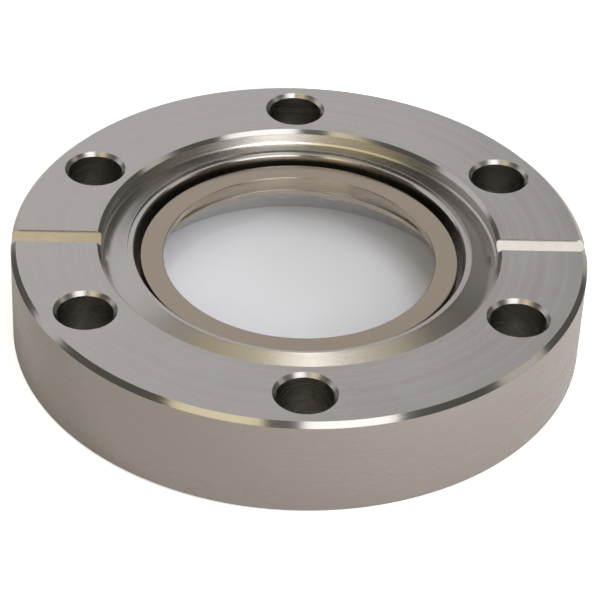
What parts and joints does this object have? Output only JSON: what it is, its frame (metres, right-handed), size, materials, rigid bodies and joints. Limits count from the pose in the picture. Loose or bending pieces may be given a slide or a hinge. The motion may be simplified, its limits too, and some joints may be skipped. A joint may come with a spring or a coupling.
{
  "type": "knife-edge vacuum flange with a sealed window",
  "caption": "Round stainless knife-edge vacuum flange with a bolt circle, leak-check grooves and a glass window sealed in a thin metal sleeve in its bore.",
  "frame": {"origin": "centre of the flat back face, on the flange's axis", "axes": "+Z along the flange's axis, out through the sealing face; the two leak-check grooves lie along X"},
  "size_m": [0.07, 0.07, 0.013],
  "materials": {
    "stainless_flange": "fine turned stainless steel",
    "sealing_alloy": "smooth drawn nickel-iron alloy",
    "window_glass": "polished sealing glass"
  },
  "bodies": {
    "root": {"flange_body": "stainless_flange", "seal_sleeve": "sealing_alloy", "window_disc": "window_glass"}
  },
  "joints": []
}
